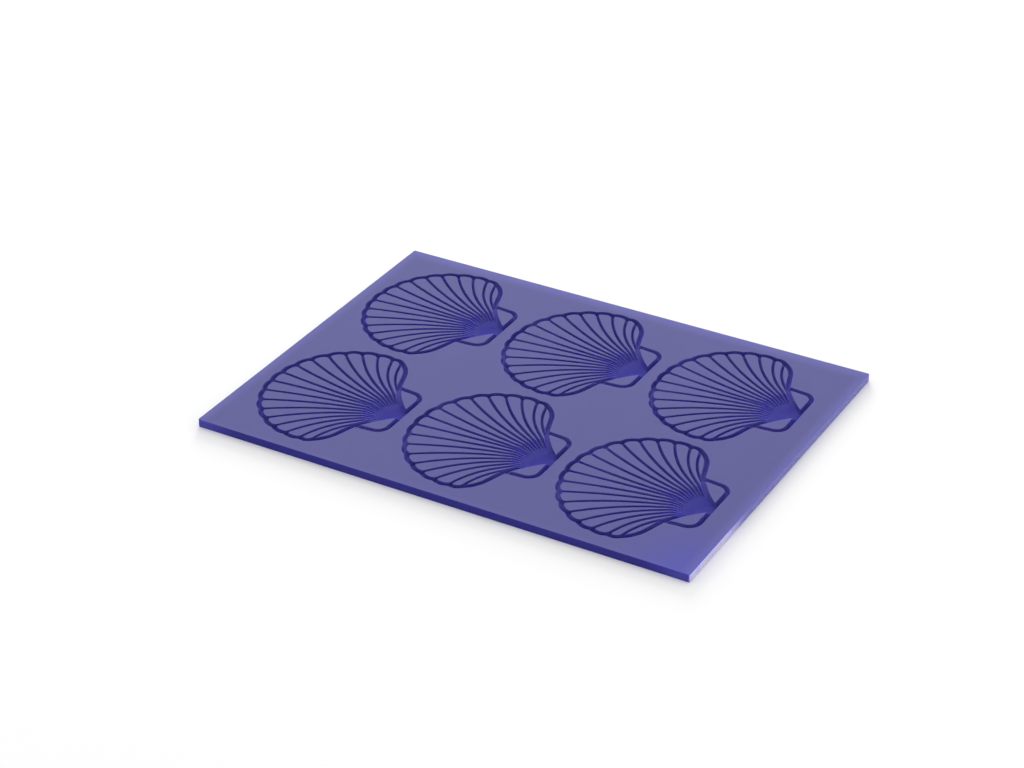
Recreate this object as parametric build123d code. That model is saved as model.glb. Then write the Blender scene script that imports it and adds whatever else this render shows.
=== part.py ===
from build123d import *
from math import cos, radians, sin
import os

# A baking mould for lace biscuits: one flexible sheet with shell-shaped line recesses in its top.
# All lengths are millimetres and all angles are degrees.
# X runs along the long side, Z is up, and the origin is the middle of the underside.

# Sheet
mat_length = 200.0
mat_width = 150.0
mat_thickness = 3.2
edge_margin = 6.1  # plain border between the shells and the sheet's edge, on three sides
hinge_margin = 9.9  # wider plain border on the side that the hinge lines face
least_land = 2.0  # narrowest land that may stand between two shells

# Shell, measured over the outer edges of its grooves
shell_length = 58.3  # from the hinge line to the crown
shell_width = 67.0  # across the widest scallops
fan_centre = 26.6  # from the hinge line to the middle of the fan's ellipse

# Grooves
groove_depth = 1.5
rim_width = 1.9
rib_width = 1.1

# Ribs and the scallops between their ends
ribs_per_side = 9
fan_half_angle = 103.3  # from the crown to the last notch, about the middle of the ellipse
last_scallop_step = 8.8  # the scallop next to each ear takes a smaller angle than the others
scallop_rise = 0.95
last_scallop_rise = 0.7
umbo_radius = 6.0  # the open floor round the umbo, where all the ribs run together
first_rib_angle = 2.3  # angle at which the rib nearest the shell's middle leaves the umbo
last_rib_gap = 2.6  # angle at the umbo between the outermost rib and the ear joint
rib_straight = 20.6  # each rib is straight up to this distance from the umbo, then curves away

# Sides of the fan and the ears beside the umbo
side_start = 1.2  # from the umbo to the point where each fan side leaves the hinge line
side_start_angle = 40.0  # each side starts at this angle and steepens as one arc up to the ear joint
ear_joint_radius = 19.0  # from the umbo to the point where fan side and ear meet
ear_joint_angle = 52.9
fan_side_angle = 72.0
fan_side_straight = 8.6
ear_half_width = 14.2  # from the umbo to each end of the hinge line
ear_corner_radius = 4.5

scallop_step = (fan_half_angle - last_scallop_step) / (ribs_per_side - 1.5)
rib_angle_step = (ear_joint_angle - last_rib_gap - first_rib_angle) / (ribs_per_side - 1)
umbo = (0, 0)
ear_joint = (
    ear_joint_radius * cos(radians(ear_joint_angle)),
    ear_joint_radius * sin(radians(ear_joint_angle)),
)


def from_point(start, distance, angle):
    """The point at this distance and angle from a start."""
    return (start[0] + distance * cos(radians(angle)), start[1] + distance * sin(radians(angle)))


def mirrored(point):
    """The same point on the other half of the shell."""
    return (point[0], -point[1])


def bent_path(start, distance, angle, finish):
    """A straight line of this length and direction that runs on as one smooth arc to its finish."""
    straight = Line(start, from_point(start, distance, angle))
    bend = TangentArc(straight @ 1, finish, tangent=straight % 1)
    return Wire([straight.edge(), bend.edge()])


def groove(path, width):
    """The plan of one groove along an open path, with round ends."""
    return make_face(path.offset_2d(width / 2))


def rim_notches():
    """The points between scallops on one half of the rim, from the crown to the ear."""
    crown_reach = shell_length - rim_width - scallop_rise - fan_centre
    side_reach = shell_width / 2 - rim_width / 2 - scallop_rise
    chord_share = cos(radians(scallop_step / 2))
    semi_length = crown_reach / chord_share
    semi_width = side_reach / chord_share
    angles = [scallop_step * (i + 0.5) for i in range(ribs_per_side - 1)] + [fan_half_angle]
    notches = []
    for angle in angles:
        x = fan_centre + semi_length * cos(radians(angle))
        notches.append((x, semi_width * sin(radians(angle))))
    return notches


def fan_outline():
    """The middle line of the groove round the fan: scallops, sides and the short run along the hinge."""
    notches = rim_notches()
    points = [mirrored(point) for point in reversed(notches)] + notches
    last = len(points) - 2
    edges = []
    for i, (start, finish) in enumerate(zip(points, points[1:])):
        rise = last_scallop_rise if i in (0, last) else scallop_rise
        edges.append(SagittaArc(start, finish, -rise).edge())
    start = (0, side_start)
    beside_pool = TangentArc(start, ear_joint, tangent=from_point(umbo, 1, side_start_angle))
    beside_ribs = bent_path(ear_joint, fan_side_straight, fan_side_angle, notches[-1])
    side = Wire([beside_pool.edge(), *beside_ribs.edges()])
    edges += [*side.edges(), *mirror(side, about=Plane.XZ).edges()]
    edges.append(Line(start, mirrored(start)).edge())
    return Wire(edges)


def rib_grooves():
    """The ribs, each from the umbo's floor to its own notch in the rim."""
    start_radius = umbo_radius - rib_width / 2
    ribs = []
    for i, notch in enumerate(rim_notches()):
        angle = first_rib_angle + rib_angle_step * i
        start = from_point(umbo, start_radius, angle)
        rib = groove(bent_path(start, rib_straight - start_radius, angle, notch), rib_width)
        ribs += [rib, mirror(rib, about=Plane.XZ)]
    return ribs


def ear_groove():
    """The outline of both ears, joined by the hinge line."""
    corner = (0, ear_half_width)
    points = [ear_joint, corner, mirrored(corner), mirrored(ear_joint)]
    return groove(FilletPolyline(*points, radius=ear_corner_radius).wire(), rim_width)


def shell_plan():
    """The plan of one shell recess, with its umbo at the origin and its crown along +X."""
    outline = fan_outline()
    whole_fan = make_face(outline.offset_2d(rim_width / 2, Kind.TANGENT))
    inside_rim = make_face(outline.offset_2d(-rim_width / 2, Kind.TANGENT))
    umbo_floor = Circle(umbo_radius)
    lands = inside_rim - umbo_floor - rib_grooves()
    return whole_fan - lands + ear_groove()


def count_that_fit(room, size):
    """How many shells of this size lie side by side in the room, with a land between them."""
    return int((room + least_land) // (size + least_land))


def shell_places():
    """Where each umbo goes on top of the sheet, spread evenly between the borders."""
    room_x = mat_length - edge_margin - hinge_margin
    room_y = mat_width - 2 * edge_margin
    columns = count_that_fit(room_x, shell_length)
    rows = count_that_fit(room_y, shell_width)
    pitch_x = (room_x - shell_length) / max(columns - 1, 1)
    pitch_y = (room_y - shell_width) / max(rows - 1, 1)
    last_umbo = mat_length / 2 - hinge_margin - rim_width / 2
    middle_x = last_umbo - pitch_x * (columns - 1) / 2
    grid = GridLocations(pitch_x, pitch_y, columns, rows)
    return [Pos(middle_x, 0, mat_thickness) * place * Rot(Z=180) for place in grid]


def silicone_mat():
    """The whole mould: the sheet with every shell recess cut into its top."""
    sheet = Box(mat_length, mat_width, mat_thickness, align=(Align.CENTER, Align.CENTER, Align.MIN))
    recess = extrude(shell_plan(), -groove_depth)
    return sheet.cut(*[place * recess for place in shell_places()])


os.makedirs("parts", exist_ok=True)
mat = silicone_mat()
mat.label = "silicone_mat"
export_step(mat, "parts/silicone_mat.step")
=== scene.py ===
# The looks of a silicone mould for lace biscuits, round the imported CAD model.
# The frame is in metres. Sizes of the mould are written in millimetres and scaled by MM.

from cmath import phase, rect
from math import cos, pi, radians, sin

import bpy
import numpy as np
from mathutils import Euler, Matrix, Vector
from mathutils.geometry import delaunay_2d_cdt


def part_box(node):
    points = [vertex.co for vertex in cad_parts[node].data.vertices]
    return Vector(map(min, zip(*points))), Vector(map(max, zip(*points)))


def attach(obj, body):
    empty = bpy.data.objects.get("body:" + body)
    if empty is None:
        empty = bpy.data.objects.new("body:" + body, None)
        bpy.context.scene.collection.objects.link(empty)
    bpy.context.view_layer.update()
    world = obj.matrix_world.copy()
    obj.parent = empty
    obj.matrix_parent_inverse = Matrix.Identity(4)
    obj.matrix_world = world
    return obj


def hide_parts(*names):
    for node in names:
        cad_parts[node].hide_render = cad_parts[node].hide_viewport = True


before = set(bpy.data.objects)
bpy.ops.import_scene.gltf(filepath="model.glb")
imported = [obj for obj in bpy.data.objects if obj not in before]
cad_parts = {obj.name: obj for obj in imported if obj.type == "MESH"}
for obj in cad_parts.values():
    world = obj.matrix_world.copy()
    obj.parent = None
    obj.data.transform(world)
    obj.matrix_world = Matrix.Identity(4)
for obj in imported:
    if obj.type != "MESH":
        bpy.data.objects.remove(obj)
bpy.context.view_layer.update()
MM = 0.001

# Sheet
MAT_LOW, MAT_HIGH = (Vector(corner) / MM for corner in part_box("silicone_mat"))
EDGE_MARGIN = 6.1
HINGE_MARGIN = 9.9
SHELL_COLUMNS, SHELL_ROWS = 3, 2
UPRIGHT_CORNER_RADIUS = 0.5
CORNER_STEPS = 6
TOP_EDGE_RADIUS = 0.14
TOP_EDGE_TURNS = (0, 30, 60, 90)  # degrees from facing up
BOTTOM_EDGE_RADIUS = 0.12
BOTTOM_EDGE_TURNS = (90, 135, 180)

# Shell, measured over the outer edges of its grooves
SHELL_LENGTH = 58.3
SHELL_WIDTH = 67.0
FAN_CENTRE = 26.6
RIM_WIDTH = 1.9
RIB_WIDTH = 1.1
RIBS_PER_SIDE = 9
FAN_HALF_ANGLE = 103.3
LAST_SCALLOP_STEP = 8.8
SCALLOP_RISE = 0.95
LAST_SCALLOP_RISE = 0.7
FIRST_RIB_ANGLE = 2.3
LAST_RIB_GAP = 2.6
RIB_STRAIGHT = 20.6
SIDE_START = 1.2
SIDE_START_ANGLE = 40.0
EAR_JOINT_RADIUS = 19.0
EAR_JOINT_ANGLE = 52.9
FAN_SIDE_ANGLE = 72.0
FAN_SIDE_STRAIGHT = 8.6
EAR_HALF_WIDTH = 14.2
EAR_CORNER_RADIUS = 4.5
RIB_STEP = (EAR_JOINT_ANGLE - LAST_RIB_GAP - FIRST_RIB_ANGLE) / (RIBS_PER_SIDE - 1)

# Section of a groove
GROOVE_DEPTH = 1.5
LIP_RADIUS = 0.18  # the rounded edge between the top face and a groove's wall
WALL_DRAFT = 20.0  # degrees that a wall leans from upright, so that the sheet comes out of its tool
FLOOR_RADIUS = 0.2  # the hollow corner between a wall and the floor
ROUNDING_SHARES = (0, 0.33, 0.67, 1)  # how far round a lip or a hollow corner each of its lines lies
RECESS_START = 0.3  # share of the lip's height at which the matt skin of the recess starts
LAND_CORNER_BLEND = 0.8  # how far the corners of the lands are rounded beside the rim

# Tips of the lands, which sink into the open floor round the umbo, the pool
POOL_REACH = 19.0  # from the umbo, past the tips of all the lands but short of where the ribs bend
TIP_START = 7.0  # from the umbo to where the tips rise out of the pool's floor
TIP_END = 18.0  # and to where they reach the top face
CREST_ROUNDING = 0.06  # how far the crest of a narrow land is lowered
CREST_SPARE = 0.05  # how far a full land's middle lies past its lip, at least

# Mesh
GRID_STEP = 0.09
CURVE_TOLERANCE = 0.012
CREST_STEP = 0.3  # between the vertices along the crest of a land that sinks into the pool
SHELL_BORDER = 0.6  # flat strip that each shell's own mesh has round it
SAME_POINT = 1e-5

# Colours of the silicone, with painted light: the light that enters through the sides is painted into the
# top face and the sides as paler, bluer colour.
SKIN = (0.05, 0.048, 0.292)
# painted light: the front right corner of the top face paler and bluer, as from light coming up through it
CORNER_PAINTED_LIGHT = (0.032, 0.031, 0.41)
# painted light on the top face beside the edges, where light enters through the sides
EDGE_PAINTED_LIGHT = (0.09, 0.087, 0.42)
# painted light and shade in the recesses: the pools darker with painted shade where the key lamp reaches
# their open floor, the rest lighter with painted light against the shade in the narrow grooves
POOL = (0.051, 0.049, 0.28)
RECESS = (0.065, 0.061, 0.303)
# painted light: the recesses paler where the lands are thin and let light through
THIN_LANDS_PAINTED_LIGHT = (0.085, 0.08, 0.35)
# painted light and shade on the sides: the front darkest and paler at its ends, the back and left sides
# lighter, the right side lighter still and palest towards the front
FRONT_SIDE = (0.064, 0.06, 0.34)
FRONT_ENDS_PAINTED_LIGHT = (0.12, 0.108, 0.53)
RIGHT_SIDE = (0.22, 0.21, 0.5)
PALE_SIDE_PAINTED_LIGHT = (0.6, 0.57, 1.0)
BACK_SIDE = (0.12, 0.115, 0.42)
SCATTER = (0.0005, 0.0005, 0.002)  # metres that red, green and blue light travel inside
RECESS_SCATTER = (0.0002, 0.0002, 0.001)

# Where the colours lie. Each band of painted light on the top face has the axis that its side faces along,
# the side's place, and how far in and how strongly the painted light shows.
PAINTED_LIGHT_BANDS = [
    ("X", MAT_LOW.x, 5, 0.8),
    ("X", MAT_HIGH.x, 5, 0.7),
    ("Y", MAT_LOW.y, 3, 0.2),
    ("Y", MAT_HIGH.y, 7, 1),
]
# reach of the painted light round the front right corner
CORNER_REACH = 36
# where the pools' painted shade ends from the umbo, and how far it fades
POOL_TONE_END, POOL_TONE_FADE = 10, 5
THIN_LANDS, THIN_LANDS_REACH = 17, 11  # from the umbo to where the lands are thin, and each way from there, for the painted light in the recesses
# how far the painted light at the front side's ends reaches from its corners
FRONT_END_REACH = 20
PALE_LENGTH, PALE_FADE = 25, 20  # painted light on the right side: how far it stays full and then fades, along the side from the front
SIDE_DEPTH = 0.6  # from a side to where its colour has ended
CLOUD_DEPTH = 0.06  # share by which the clouding deepens a colour
CLOUDS_PER_METRE, CLOUD_DETAIL = 60.0, 3.0
CLOUD_MIDDLE = 0.5
CLOUD_ROUGHNESS = 0.06
GRAINS_PER_METRE, GRAIN_DETAIL = 2500.0, 2.0
GRAIN_STRENGTH = 0.35

# Finishes, with the depth of their grain in metres
SKIN_ROUGHNESS, SKIN_SHINE, SKIN_GRAIN = 0.32, 0.78, 2e-5
RECESS_ROUGHNESS, SIDE_ROUGHNESS = 0.6, 0.5
MATT_SHINE, MATT_GRAIN = 0.0, 3e-5

# Camera, as solved from the four corners of the mat in the photograph
CAMERA_PLACE = (0.4049, -0.7189, 0.5032)
CAMERA_AZIMUTH = 30.06  # degrees, from looking along +Y
CAMERA_ELEVATION = 30.95
CAMERA_ROLL = -0.32
CAMERA_LENS = 91.87  # millimetres, on a sensor 36 mm wide
CAMERA_NEAR, CAMERA_FAR = 0.01, 100

# Floor
FLOOR_HALF = 3
FLOOR_LEVEL = -2e-5
FLOOR_PALENESS = 0.95  # its colour as the camera sees it, and as it lights the mould
FLOOR_BOUNCE = 0.5
FLOOR_GLOW = 0.05  # what it gives off as the camera sees it, and how much more it gives off far away
FAR_GLOW = 0.12
FAR = 1500  # millimetres from the mould to where the floor is as white as the sky

# Light
SEEN_RAYS = ("Is Camera Ray", "Is Glossy Ray", "Is Transmission Ray")
WHITE = (1, 1, 1, 1)
SKY = 0.88
SKY_LEAN = 0.5  # share by which the sky is brighter on its bright side than overhead
SKY_BRIGHT_SIDE = (-0.5, 0.866, 0)
LAMP_SIZE = 0.4
KEY_PLACE, KEY_POWER = (-0.57, 1.0, 0.31), 7.5
FILL_PLACE, FILL_POWER = (1.2, -0.25, 0.12), 3.0


# Plan of one shell, with points as complex numbers, the umbo at 0 and the crown along +X

def polar(distance, angle):
    """The point at this distance and angle in degrees from the umbo."""
    return rect(distance, radians(angle))


def to_line(a, b):
    """The distance from points to the straight line between a and b."""
    run = b - a

    def distance(p):
        share = np.clip(((p - a) * run.conjugate()).real / abs(run) ** 2, 0, 1)
        return abs(p - a - share * run)

    return distance


def to_arc(centre, a, b, middle):
    """The distance from points to the arc about a centre that runs from a through its middle to b."""
    radius = abs(a - centre)
    half_turn = abs(phase((a - centre) / (middle - centre)))

    def distance(p):
        beside = abs(np.angle((p - centre) / (middle - centre))) <= half_turn
        return np.where(beside, abs(abs(p - centre) - radius), np.minimum(abs(p - a), abs(p - b)))

    return distance


def to_scallop(a, b, rise):
    """The distance to an arc from a to b that bulges away from the middle of the fan."""
    middle = (a + b) / 2
    outward = 1j * (a - b) / abs(a - b)
    if ((middle - FAN_CENTRE) * outward.conjugate()).real < 0:
        outward = -outward
    radius = (abs(b - a) ** 2 / 4 + rise ** 2) / (2 * rise)
    return to_arc(middle + outward * (rise - radius), a, b, middle + outward * rise)


def tangent_arc_centre(start, angle, finish):
    """The centre of the arc that leaves the start at this angle and ends at the finish."""
    chord = finish - start
    side = 1j * polar(1, angle)
    return start + side * abs(chord) ** 2 / (2 * (chord * side.conjugate()).real)


def to_tangent_arc(start, angle, finish):
    """The distance to the arc that leaves the start at this angle and ends at the finish."""
    centre = tangent_arc_centre(start, angle, finish)
    bisector = (start + finish) / 2 - centre
    return to_arc(centre, start, finish, centre + bisector * abs(start - centre) / abs(bisector))


def to_bent_path(start, length, angle, finish):
    """The distances to a straight run and to the tangent arc that goes on from it to the finish."""
    knee = start + polar(length, angle)
    return [to_line(start, knee), to_tangent_arc(knee, angle, finish)]


def rim_notches():
    """The points between scallops on one half of the rim, from the crown to the ear."""
    step = (FAN_HALF_ANGLE - LAST_SCALLOP_STEP) / (RIBS_PER_SIDE - 1.5)
    share = cos(radians(step / 2))
    semi_length = (SHELL_LENGTH - RIM_WIDTH - SCALLOP_RISE - FAN_CENTRE) / share
    semi_width = (SHELL_WIDTH / 2 - RIM_WIDTH / 2 - SCALLOP_RISE) / share
    degrees = [step * (i + 0.5) for i in range(RIBS_PER_SIDE - 1)] + [FAN_HALF_ANGLE]
    angles = [radians(angle) for angle in degrees]
    return [complex(FAN_CENTRE + semi_length * cos(a), semi_width * sin(a)) for a in angles]


NOTCHES = rim_notches()
EAR_JOINT = polar(EAR_JOINT_RADIUS, EAR_JOINT_ANGLE)
SIDE_FOOT = complex(0, SIDE_START)
SIDE_CENTRE = tangent_arc_centre(SIDE_FOOT, SIDE_START_ANGLE, EAR_JOINT)


def scallop_paths():
    """The middle lines of the rim's scallops on one half, from the one across the crown to the ear."""
    ends = [NOTCHES[0].conjugate()] + NOTCHES
    rises = [SCALLOP_RISE] * (RIBS_PER_SIDE - 1) + [LAST_SCALLOP_RISE]
    return [to_scallop(a, b, rise) for a, b, rise in zip(ends, ends[1:], rises)]


def rib_paths():
    """The middle lines of the ribs on one half, from the umbo to their notches."""
    ribs = []
    for i, notch in enumerate(NOTCHES):
        ribs += to_bent_path(0j, RIB_STRAIGHT, FIRST_RIB_ANGLE + RIB_STEP * i, notch)
    return ribs


def side_paths():
    """The middle line of the fan's side: an arc beside the pool, and on past the ear to the last notch."""
    beside_pool = to_tangent_arc(SIDE_FOOT, SIDE_START_ANGLE, EAR_JOINT)
    return [beside_pool] + to_bent_path(EAR_JOINT, FAN_SIDE_STRAIGHT, FAN_SIDE_ANGLE, NOTCHES[-1])


def ear_paths():
    """The middle line of one ear: its sloping side, its rounded corner and half the hinge line."""
    corner = complex(0, EAR_HALF_WIDTH)
    into = (EAR_JOINT - corner) / abs(EAR_JOINT - corner)
    bisector = (into - 1j) / abs(into - 1j)
    half_corner = abs(phase(into / bisector))
    reach = EAR_CORNER_RADIUS / np.tan(half_corner)
    centre = corner + bisector * EAR_CORNER_RADIUS / sin(half_corner)
    near, far = corner + into * reach, corner - 1j * reach
    rounding = to_arc(centre, near, far, centre - bisector * EAR_CORNER_RADIUS)
    return [to_line(EAR_JOINT, near), rounding, to_line(far, 0j)]


def land_wedges():
    """The direction of the middle and half the angle of each land between two ribs, on one half."""
    half = RIB_STEP / 2
    between = [(FIRST_RIB_ANGLE + half * (2 * i + 1), half) for i in range(RIBS_PER_SIDE - 1)]
    return [(0, FIRST_RIB_ANGLE)] + between


def groove_section():
    """The section of a groove, from the top face down: distance beyond the edge, height and tilt."""
    steep = radians(90 - WALL_DRAFT)
    wall_height = GROOVE_DEPTH - (LIP_RADIUS + FLOOR_RADIUS) * (1 - cos(steep))
    wall_foot = LIP_RADIUS * (1 - sin(steep)) - wall_height / np.tan(steep)
    tilts = [steep * share for share in ROUNDING_SHARES]
    section = [(LIP_RADIUS * (1 - sin(tilt)), LIP_RADIUS * (cos(tilt) - 1), tilt) for tilt in tilts]
    for tilt in reversed(tilts):
        run = FLOOR_RADIUS * (sin(steep) - sin(tilt))
        section.append((wall_foot - run, FLOOR_RADIUS * (1 - cos(tilt)) - GROOVE_DEPTH, tilt))
    return section


SCALLOPS = scallop_paths()
RIBS = rib_paths()
OUTLINE = side_paths() + ear_paths()
LANDS = land_wedges()
SECTION = groove_section()
LIP_EDGE, FLOOR_EDGE = SECTION[0][0], SECTION[-1][0]


def nearest(paths, p):
    """The distance from points to the nearest of some paths."""
    return np.minimum.reduce([path(p) for path in paths])


def inside_lands(p):
    """How far points beside the umbo lie inside the lands between the ribs, or, below 0, off them."""
    share = np.clip((abs(p) - TIP_START) / (TIP_END - TIP_START), 0, 1)
    rise = share * share * (3 - 2 * share)
    tips = FLOOR_EDGE + (LIP_EDGE + CREST_SPARE - FLOOR_EDGE) * rise
    wedges = []
    for middle, half in LANDS:
        from_tip = p / polar(1, middle) - RIB_WIDTH / 2 / sin(radians(half))
        across = np.hypot(from_tip.imag, CREST_ROUNDING)
        wedges.append(from_tip.real * sin(radians(half)) - across * cos(radians(half)))
    return np.minimum(np.maximum.reduce(wedges), tips)


def beyond_edge(p):
    """How far points lie outside the nearest groove's edge, or, below 0, inside it."""
    p = p.real + 1j * abs(p.imag)
    rim = nearest(SCALLOPS, p) - RIM_WIDTH / 2
    ribs = nearest(RIBS, p) - RIB_WIDTH / 2
    outline = nearest(OUTLINE, p) - RIM_WIDTH / 2
    blend = np.maximum(LAND_CORNER_BLEND - abs(rim - ribs), 0)
    fan = np.minimum(rim, ribs) - blend ** 2 / (4 * LAND_CORNER_BLEND)
    outside_fan = np.maximum(abs(SIDE_FOOT - SIDE_CENTRE) - abs(p - SIDE_CENTRE), -p.real)
    pool = np.maximum(inside_lands(p), outside_fan)
    return np.minimum(np.where(abs(p) < POOL_REACH, pool, fan), outline)


# Mesh of the shells: level lines of the distance to the groove's edge, each at its own height

# The lines through a cell, by which of its corners are inside: 1, 2, 4 and 8 from the lower left one
# anticlockwise, and 16 more where two opposite corners are joined through the cell's middle
CELL_LINES = {
    1: ["left bottom"], 2: ["bottom right"], 3: ["left right"], 4: ["right top"],
    5: ["left bottom", "right top"], 21: ["left top", "right bottom"],
    6: ["bottom top"], 7: ["left top"], 8: ["top left"], 9: ["top bottom"],
    10: ["bottom right", "top left"], 26: ["bottom left", "top right"],
    11: ["top right"], 12: ["right left"], 13: ["right bottom"], 14: ["bottom left"],
}


def level_loops(values, corner, level):
    """The closed lines on which a grid of values crosses a level, by marching squares."""
    inside = values < level
    a, b, c, d = inside[:-1, :-1], inside[1:, :-1], inside[1:, 1:], inside[:-1, 1:]
    case = a * 1 + b * 2 + c * 4 + d * 8
    middle = (values[:-1, :-1] + values[1:, :-1] + values[1:, 1:] + values[:-1, 1:]) / 4
    case += 16 * ((middle < level) & ((case == 5) | (case == 10)))
    rows = values.shape[1]

    def side(name, i, j):
        """The number of a side of a cell, even for one along X and odd for one along Y."""
        upright = name in ("left", "right")
        return ((i + (name == "right")) * rows + j + (name == "top")) * 2 + upright

    follow = {}
    for number, lines in CELL_LINES.items():
        i, j = np.nonzero(case == number)
        for line in lines:
            start, finish = line.split()
            follow.update(zip(side(start, i, j).tolist(), side(finish, i, j).tolist()))
    loops = []
    while follow:
        first, at = follow.popitem()
        keys = [first]
        while at != first:
            keys.append(at)
            at = follow.pop(at)
        loops.append(crossings(values, corner, level, np.array(keys)))
    return loops


def crossings(values, corner, level, keys):
    """The points at which a level crosses these sides of the grid's cells."""
    upright = keys % 2
    i, j = np.divmod(keys // 2, values.shape[1])
    here = values[i, j]
    there = values[i + 1 - upright, j + upright]
    share = (level - here) / (there - here)
    return corner + GRID_STEP * (i + share * (1 - upright) + 1j * (j + share * upright))


def thinned(loop):
    """A closed line with no more points than its curve needs."""
    far = int(abs(loop - loop[0]).argmax())
    loop = np.append(loop, loop[0])
    kept = np.zeros(len(loop), bool)
    kept[[0, far]] = True
    spans = [(0, far), (far, len(loop) - 1)]
    while spans:
        a, b = spans.pop()
        if b - a < 2:
            continue
        run = loop[b] - loop[a]
        part = loop[a + 1:b] - loop[a]
        off = abs((part * run.conjugate()).imag) / abs(run)
        worst = int(off.argmax())
        if off[worst] > CURVE_TOLERANCE:
            kept[a + 1 + worst] = True
            spans += [(a, a + 1 + worst), (a + 1 + worst, b)]
    return loop[:-1][kept[:-1]]


def ring_sides(first, count):
    """The sides of a closed line whose points are numbered on from the first."""
    return [(first + k, first + (k + 1) % count) for k in range(count)]


def triangulated(points, sides):
    """The triangles between these points that keep these sides, and which points they use."""
    flat = [Vector((p.real, p.imag)) for p in points]
    _, _, triangles, origins, _, _ = delaunay_2d_cdt(flat, sides, [], 0, SAME_POINT)
    return np.array(triangles), [same[0] for same in origins]


def sinking_crests(middle):
    """Points along the crests of a land and of its mirror image, where they sink into the pool."""
    crest = np.arange(0, POOL_REACH, CREST_STEP) * polar(1, middle)
    crest = np.concatenate([crest, crest[crest.imag > 0].conjugate()])
    distance = beyond_edge(crest)
    return crest[(distance > FLOOR_EDGE) & (distance < LIP_EDGE)]


def facing(p, tilt):
    """The directions that points face whose surface tilts this far down into the nearest groove."""
    small = GRID_STEP / 2
    slope_x = (beyond_edge(p + small) - beyond_edge(p - small)) / (2 * small)
    slope_y = (beyond_edge(p + 1j * small) - beyond_edge(p - 1j * small)) / (2 * small)
    return np.stack([-slope_x * np.sin(tilt), -slope_y * np.sin(tilt), np.cos(tilt)], 1)


def shell_mesh():
    """One shell's part of the top face, its corners first: points, heights, directions and triangles."""
    low = complex(-RIM_WIDTH / 2, -SHELL_WIDTH / 2) - SHELL_BORDER * (1 + 1j)
    high = complex(SHELL_LENGTH - RIM_WIDTH / 2, SHELL_WIDTH / 2) + SHELL_BORDER * (1 + 1j)
    x = np.arange(low.real, high.real, GRID_STEP)
    y = np.arange(low.imag, high.imag, GRID_STEP)
    values = beyond_edge(x[:, None] + 1j * y[None, :])
    points = [low, complex(high.real, low.imag), high, complex(low.real, high.imag)]
    heights, tilts = [0.0] * 4, [0.0] * 4
    sides = ring_sides(0, 4)
    for distance, height, tilt in SECTION:
        for loop in level_loops(values, low, distance):
            loop = thinned(loop)
            if len(loop) > 2:
                sides += ring_sides(len(points), len(loop))
                points += loop.tolist()
                heights += [height] * len(loop)
                tilts += [tilt] * len(loop)
    distances, section_heights, section_tilts = np.array(SECTION[::-1]).T
    for middle, _ in LANDS:
        crest = sinking_crests(middle)
        points += crest.tolist()
        heights += np.interp(beyond_edge(crest), distances, section_heights).tolist()
        tilts += np.interp(beyond_edge(crest), distances, section_tilts).tolist()
    triangles, used = triangulated(points, sides)
    p = np.array(points)[used]
    return p, np.array(heights)[used], facing(p, np.array(tilts)[used]), triangles


# Mesh of the whole mould

class Surface:
    """The vertices, directions and faces of a mesh in the making."""

    def __init__(self):
        self.points = []
        self.ways = []
        self.faces = []

    def add(self, plan, heights, ways):
        """Adds vertices at these points of the plan and returns the number of the first."""
        first = len(self.points)
        self.points += np.stack([plan.real, plan.imag, heights], 1).tolist()
        self.ways += (ways / np.linalg.norm(ways, axis=1)[:, None]).tolist()
        return first


def shell_places():
    """Where each umbo goes, spread evenly between the borders, with the crowns towards -X."""
    last = MAT_HIGH.x - HINGE_MARGIN - RIM_WIDTH / 2
    pitch_x = (MAT_HIGH.x - MAT_LOW.x - EDGE_MARGIN - HINGE_MARGIN - SHELL_LENGTH) / (SHELL_COLUMNS - 1)
    pitch_y = (MAT_HIGH.y - MAT_LOW.y - 2 * EDGE_MARGIN - SHELL_WIDTH) / (SHELL_ROWS - 1)
    rows = [(k - (SHELL_ROWS - 1) / 2) * pitch_y for k in range(SHELL_ROWS)]
    return [complex(last - pitch_x * i, y) for i in range(SHELL_COLUMNS) for y in rows]


def add_shells(surface):
    """Adds the shells, each turned half round, and returns the numbers of each one's four corners."""
    plan, depths, ways, triangles = shell_mesh()
    shells = []
    for place in shell_places():
        first = surface.add(place - plan, MAT_HIGH.z + depths, ways * (-1, -1, 1))
        surface.faces += (triangles + first).tolist()
        shells.append([first + k for k in range(4)])
    return shells


def rounded_outline(inset):
    """The sheet's outline, this far inside its sides, and the direction each point faces."""
    low, high = complex(*MAT_LOW.xy), complex(*MAT_HIGH.xy)
    middle, half = (high + low) / 2, (high - low) / 2
    radius = UPRIGHT_CORNER_RADIUS
    points, ways = [], []
    for quarter, sign in enumerate([1 + 1j, -1 + 1j, -1 - 1j, 1 - 1j]):
        centre = complex((half.real - radius) * sign.real, (half.imag - radius) * sign.imag)
        for k in range(CORNER_STEPS + 1):
            way = rect(1, pi / 2 * (quarter + k / CORNER_STEPS))
            points.append(middle + centre + way * (radius - inset))
            ways.append(way)
    return np.array(points), np.array(ways)


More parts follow.
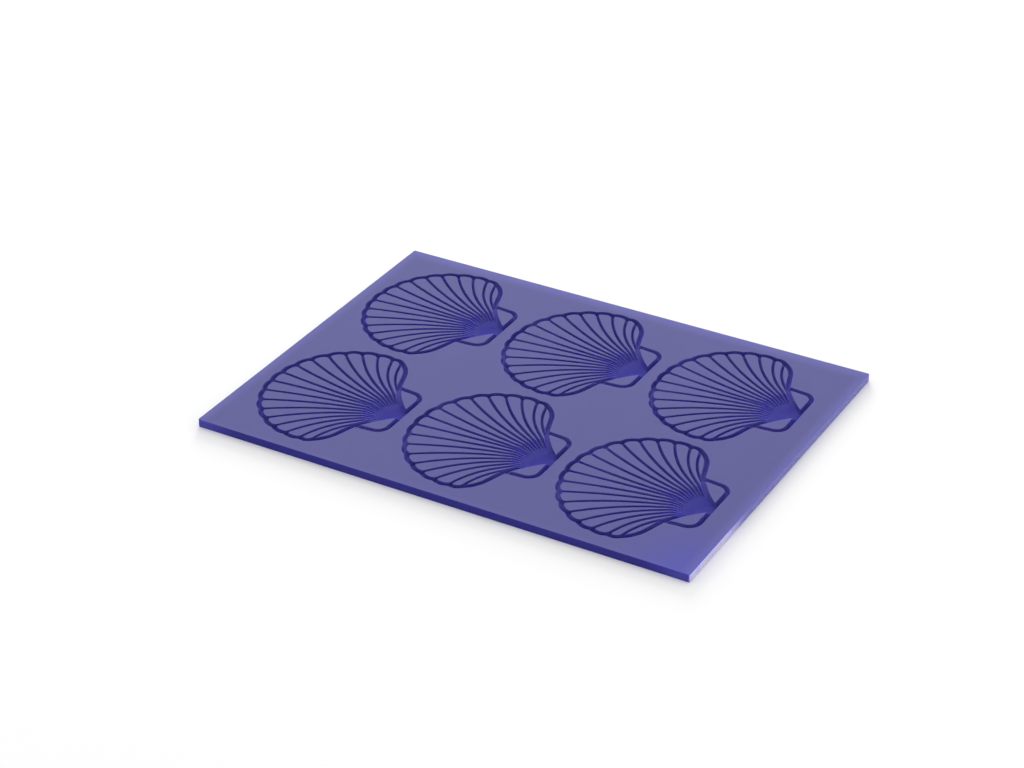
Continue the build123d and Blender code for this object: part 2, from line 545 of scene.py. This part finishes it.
def add_sides(surface):
    """Adds rings from the flat of the top over the sides to the underside, and returns the top one."""
    section = [(TOP_EDGE_RADIUS, MAT_HIGH.z - TOP_EDGE_RADIUS, turn) for turn in TOP_EDGE_TURNS]
    section += [(BOTTOM_EDGE_RADIUS, MAT_LOW.z + BOTTOM_EDGE_RADIUS, turn) for turn in BOTTOM_EDGE_TURNS]
    rings = []
    for radius, middle, turn in section:
        tilt = radians(turn)
        plan, out = rounded_outline(radius * (1 - sin(tilt)))
        heights = np.full(len(plan), middle + radius * cos(tilt))
        ways = np.stack([out.real * sin(tilt), out.imag * sin(tilt), np.full(len(out), cos(tilt))], 1)
        first = surface.add(plan, heights, ways)
        rings.append([first + k for k in range(len(plan))])
    for upper, lower in zip(rings, rings[1:]):
        for a, b in ring_sides(0, len(upper)):
            surface.faces.append([upper[a], lower[a], lower[b], upper[b]])
    surface.faces.append(rings[-1][::-1])
    return rings[0]


def add_border(surface, outline, shells):
    """Adds the flat of the top between the shells' corners and the rounded edge."""
    numbers = outline + [corner for shell in shells for corner in shell]
    sides = ring_sides(0, len(outline))
    for k in range(len(shells)):
        sides += ring_sides(len(outline) + 4 * k, 4)
    plan = [complex(*surface.points[number][:2]) for number in numbers]
    triangles, used = triangulated(plan, sides)
    for triangle in triangles:
        face = [numbers[used[k]] for k in triangle]
        if not any(set(face) <= set(shell) for shell in shells):
            surface.faces.append(face)


def finish_of(surface, shell_faces):
    """The number of each face's finish: 0 for the top face, 1 in the recesses and 2 on the sides."""
    level = MAT_HIGH.z - LIP_RADIUS * RECESS_START
    finishes = []
    for number, face in enumerate(surface.faces):
        height = sum(surface.points[k][2] for k in face) / len(face)
        beside = number >= shell_faces
        finishes.append((height < level) * (1 + beside))
    return finishes


def moulded_sheet(name):
    """The whole mould as one closed mesh."""
    surface = Surface()
    shells = add_shells(surface)
    shell_faces = len(surface.faces)
    outline = add_sides(surface)
    add_border(surface, outline, shells)
    mesh = bpy.data.meshes.new(name)
    mesh.from_pydata((np.array(surface.points) * MM).tolist(), [], surface.faces)
    mesh.polygons.foreach_set("use_smooth", [True] * len(mesh.polygons))
    mesh.polygons.foreach_set("material_index", finish_of(surface, shell_faces))
    mesh.normals_split_custom_set_from_vertices(surface.ways)
    piece = bpy.data.objects.new(name, mesh)
    bpy.context.scene.collection.objects.link(piece)
    return piece


mould = moulded_sheet("moulded_silicone_mat")
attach(mould, "root")
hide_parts("silicone_mat")


# Shaders

class Wire:
    """The output of a shader node. A sum that is written with it adds the Math nodes for it."""

    def __init__(self, shading, socket):
        self.shading = shading
        self.socket = socket

    def math(self, operation, *values):
        """A Math node on these values."""
        return self.shading.node("ShaderNodeMath", {"operation": operation}, dict(enumerate(values)))

    def __add__(self, other):
        return self.math("ADD", self, other)

    def __sub__(self, other):
        return self.math("SUBTRACT", self, other)

    def __rsub__(self, other):
        return self.math("SUBTRACT", other, self)

    def __mul__(self, other):
        return self.math("MULTIPLY", self, other)

    def __truediv__(self, other):
        return self.math("DIVIDE", self, other)

    def __abs__(self):
        return self.math("ABSOLUTE", self)

    def least(self, other):
        """The smaller of two values."""
        return self.math("MINIMUM", self, other)

    def most(self, other):
        """The larger of two values."""
        return self.math("MAXIMUM", self, other)

    __radd__ = __add__
    __rmul__ = __mul__


class Shading:
    """The node tree of a material or of the world."""

    def __init__(self, owner):
        owner.use_nodes = True
        self.tree = owner.node_tree
        self.tree.nodes.clear()

    def node(self, kind, settings=None, values=None, output=0):
        """A node of this kind, with its settings and with values or links in its sockets."""
        node = self.tree.nodes.new(kind)
        for name, setting in (settings or {}).items():
            setattr(node, name, setting)
        for name, value in (values or {}).items():
            socket = node.inputs[name]
            if isinstance(value, Wire):
                self.tree.links.new(value.socket, socket)
            else:
                socket.default_value = value
        return Wire(self, node.outputs[output]) if node.outputs else node

    def mix(self, share, first, second):
        """One colour passing into another, through the numbers of the Mix node's colour sockets."""
        return self.node("ShaderNodeMix", {"data_type": "RGBA"}, {0: share, 6: first, 7: second}, 2)

    def vector(self, operation, *vectors):
        """The number that a Vector Math node makes of these vectors."""
        values = dict(enumerate(vectors))
        return self.node("ShaderNodeVectorMath", {"operation": operation}, values, "Value")

    def seen_directly(self):
        """1 for a ray from the camera, a reflection or a refraction, and 0 for one that carries light."""
        camera, glossy, clear = (self.node("ShaderNodeLightPath", output=name) for name in SEEN_RAYS)
        return camera.most(glossy).most(clear)


def colour(channels, share=1):
    """A colour for a socket, at this share of its brightness."""
    return (*(channel * share for channel in channels), 1)


def grey(level):
    """A colour without hue."""
    return colour((level, level, level))


def soft(distance, reach):
    """1 at no distance, falling softly to 0 where the distance in millimetres is this reach."""
    share = (1 - distance / (reach * MM)).most(0).least(1)
    return share * share * (3 - 2 * share)


class SiliconeShading(Shading):
    """The node tree of one finish, with the place of a point and how clouded the silicone is there."""

    def __init__(self, owner):
        super().__init__(owner)
        self.place = self.node("ShaderNodeTexCoord", output="Object")
        self.cloud = self.noise(CLOUDS_PER_METRE, CLOUD_DETAIL)

    def noise(self, scale, detail):
        """Soft noise over the whole mould."""
        return self.node("ShaderNodeTexNoise", {}, {"Vector": self.place, "Scale": scale, "Detail": detail})

    def clouded(self, channels):
        """A colour that varies a little from place to place."""
        return self.mix(self.cloud, colour(channels), colour(channels, 1 - CLOUD_DEPTH))

    def from_side(self, axis, level):
        """The distance of a point from the side that faces along this axis at this place."""
        return abs(self.node("ShaderNodeSeparateXYZ", {}, {"Vector": self.place}, axis) - level * MM)

    def from_top_point(self, x, y):
        """The distance of a point from one in the top face."""
        return self.vector("DISTANCE", self.place, (x * MM, y * MM, MAT_HIGH.z * MM))

    def from_umbo(self):
        """The distance of a point from the nearest umbo."""
        first, *others = [self.from_top_point(umbo.real, umbo.imag) for umbo in shell_places()]
        for distance in others:
            first = first.least(distance)
        return first


def skin_tone(s):
    """The top face, with painted light beside the edges where light enters through the sides, and round the
    front right corner.
    """
    corner_light_mask = soft(s.from_top_point(MAT_HIGH.x, MAT_LOW.y), CORNER_REACH)
    tone = s.mix(corner_light_mask, s.clouded(SKIN), colour(CORNER_PAINTED_LIGHT))
    lit = 0
    for axis, level, reach, strength in PAINTED_LIGHT_BANDS:
        lit = (soft(s.from_side(axis, level), reach) * strength).most(lit)
    return s.mix(lit, tone, colour(EDGE_PAINTED_LIGHT))


def recess_tone(s):
    """The inside of the recesses, with painted shade that deepens the pools and painted light that pales
    them where the lands are thin.
    """
    away = s.from_umbo()
    pool_shade_mask = soft(away - POOL_TONE_END * MM, POOL_TONE_FADE)
    tone = s.mix(pool_shade_mask, s.clouded(RECESS), s.clouded(POOL))
    thin = soft(abs(away - THIN_LANDS * MM), THIN_LANDS_REACH)
    return s.mix(thin, tone, colour(THIN_LANDS_PAINTED_LIGHT))


def side_tone(s):
    """The sides of the sheet, with painted light that makes them paler where the light comes through them.
    """
    left_end, right_end = (
        soft(s.from_top_point(x, MAT_LOW.y), FRONT_END_REACH) for x in (MAT_LOW.x, MAT_HIGH.x)
    )
    front_side = s.mix(left_end.most(right_end), colour(FRONT_SIDE), colour(FRONT_ENDS_PAINTED_LIGHT))
    from_front = s.from_side("Y", MAT_LOW.y)
    pale = soft(from_front - PALE_LENGTH * MM, PALE_FADE)
    right_side = s.mix(pale, colour(RIGHT_SIDE), colour(PALE_SIDE_PAINTED_LIGHT))
    tone = s.mix(soft(from_front, SIDE_DEPTH), colour(BACK_SIDE), front_side)
    return s.mix(soft(s.from_side("X", MAT_HIGH.x), SIDE_DEPTH), tone, right_side)


def silicone(name, tone, roughness, shine, grain_depth, scatter):
    """Blue-violet silicone that light enters, with the tone and finish of one part of its skin."""
    material = bpy.data.materials.new(name)
    s = SiliconeShading(material)
    grain = s.noise(GRAINS_PER_METRE, GRAIN_DETAIL)
    relief = {"Height": grain, "Strength": GRAIN_STRENGTH, "Distance": grain_depth}
    shader = s.node("ShaderNodeBsdfPrincipled", {"subsurface_method": "RANDOM_WALK"}, {
        "Base Color": tone(s),
        "Roughness": roughness + (s.cloud - CLOUD_MIDDLE) * CLOUD_ROUGHNESS,
        "Normal": s.node("ShaderNodeBump", {}, relief),
        "Specular IOR Level": shine,
        "Subsurface Weight": 1.0,
        "Subsurface Radius": scatter,
        "Subsurface Scale": 1.0,
    })
    s.node("ShaderNodeOutputMaterial", {}, {"Surface": shader})
    return material


# In the order of the numbers that finish_of gives
FINISHES = [
    silicone("satin skin", skin_tone, SKIN_ROUGHNESS, SKIN_SHINE, SKIN_GRAIN, SCATTER),
    silicone("matt recess", recess_tone, RECESS_ROUGHNESS, MATT_SHINE, MATT_GRAIN, RECESS_SCATTER),
    silicone("matt side", side_tone, SIDE_ROUGHNESS, MATT_SHINE, MATT_GRAIN, SCATTER),
]
for finish in FINISHES:
    mould.data.materials.append(finish)


# Surroundings

def set_camera():
    """The camera at the photograph's viewing angle."""
    camera = bpy.data.objects.new("camera", bpy.data.cameras.new("camera"))
    bpy.context.scene.collection.objects.link(camera)
    camera.data.lens = CAMERA_LENS
    camera.data.clip_start, camera.data.clip_end = CAMERA_NEAR, CAMERA_FAR
    camera.location = CAMERA_PLACE
    turn = Euler((radians(90 - CAMERA_ELEVATION), 0, radians(CAMERA_AZIMUTH))).to_matrix()
    roll = Euler((0, 0, radians(CAMERA_ROLL))).to_matrix()
    camera.rotation_euler = (turn @ roll).to_euler()
    bpy.context.scene.camera = camera


def pale_board():
    """The floor's material: pale to the eye, duller where it lights the mould, and white far away."""
    material = bpy.data.materials.new("pale floor")
    s = Shading(material)
    seen = s.seen_directly()
    tone = s.mix(seen, grey(FLOOR_BOUNCE), grey(FLOOR_PALENESS))
    board = s.node("ShaderNodeBsdfDiffuse", {}, {"Color": tone})
    away = s.vector("LENGTH", s.node("ShaderNodeTexCoord", output="Object"))
    strength = seen * (FLOOR_GLOW + FAR_GLOW * (1 - soft(away, FAR)))
    glow = s.node("ShaderNodeEmission", {}, {"Strength": strength})
    both = s.node("ShaderNodeAddShader", {}, {0: board, 1: glow})
    s.node("ShaderNodeOutputMaterial", {}, {"Surface": both})
    return material


def add_floor():
    """A plain pale floor, just under the mould."""
    floor = bpy.data.objects.new("floor", bpy.data.meshes.new("floor"))
    signs = [(-1, -1), (1, -1), (1, 1), (-1, 1)]
    corners = [(FLOOR_HALF * x, FLOOR_HALF * y, FLOOR_LEVEL) for x, y in signs]
    floor.data.from_pydata(corners, [], [(0, 1, 2, 3)])
    floor.data.materials.append(pale_board())
    bpy.context.scene.collection.objects.link(floor)


def set_sky():
    """A soft sky that is brighter towards one side, and plain white where it is seen."""
    world = bpy.data.worlds.new("studio")
    s = Shading(world)
    seen = s.seen_directly()
    way = s.node("ShaderNodeTexCoord", output="Generated")
    sky = SKY * (1 + s.vector("DOT_PRODUCT", way, SKY_BRIGHT_SIDE) * SKY_LEAN)
    light = s.node("ShaderNodeBackground", {}, {"Color": WHITE, "Strength": seen + (1 - seen) * sky})
    s.node("ShaderNodeOutputWorld", {}, {"Surface": light})
    bpy.context.scene.world = world


def soft_lamp(name, place, power):
    """A wide square lamp that faces the middle of the mould and isn't seen itself."""
    lamp = bpy.data.objects.new(name, bpy.data.lights.new(name, "AREA"))
    lamp.data.size = LAMP_SIZE
    lamp.data.energy = power
    lamp.location = place
    lamp.rotation_euler = (-Vector(place)).to_track_quat("-Z", "Y").to_euler()
    lamp.visible_camera = False
    lamp.visible_glossy = False
    bpy.context.scene.collection.objects.link(lamp)


set_camera()
add_floor()
set_sky()
soft_lamp("key", KEY_PLACE, KEY_POWER)
soft_lamp("fill", FILL_PLACE, FILL_POWER)
bpy.context.scene.view_settings.view_transform = "Standard"
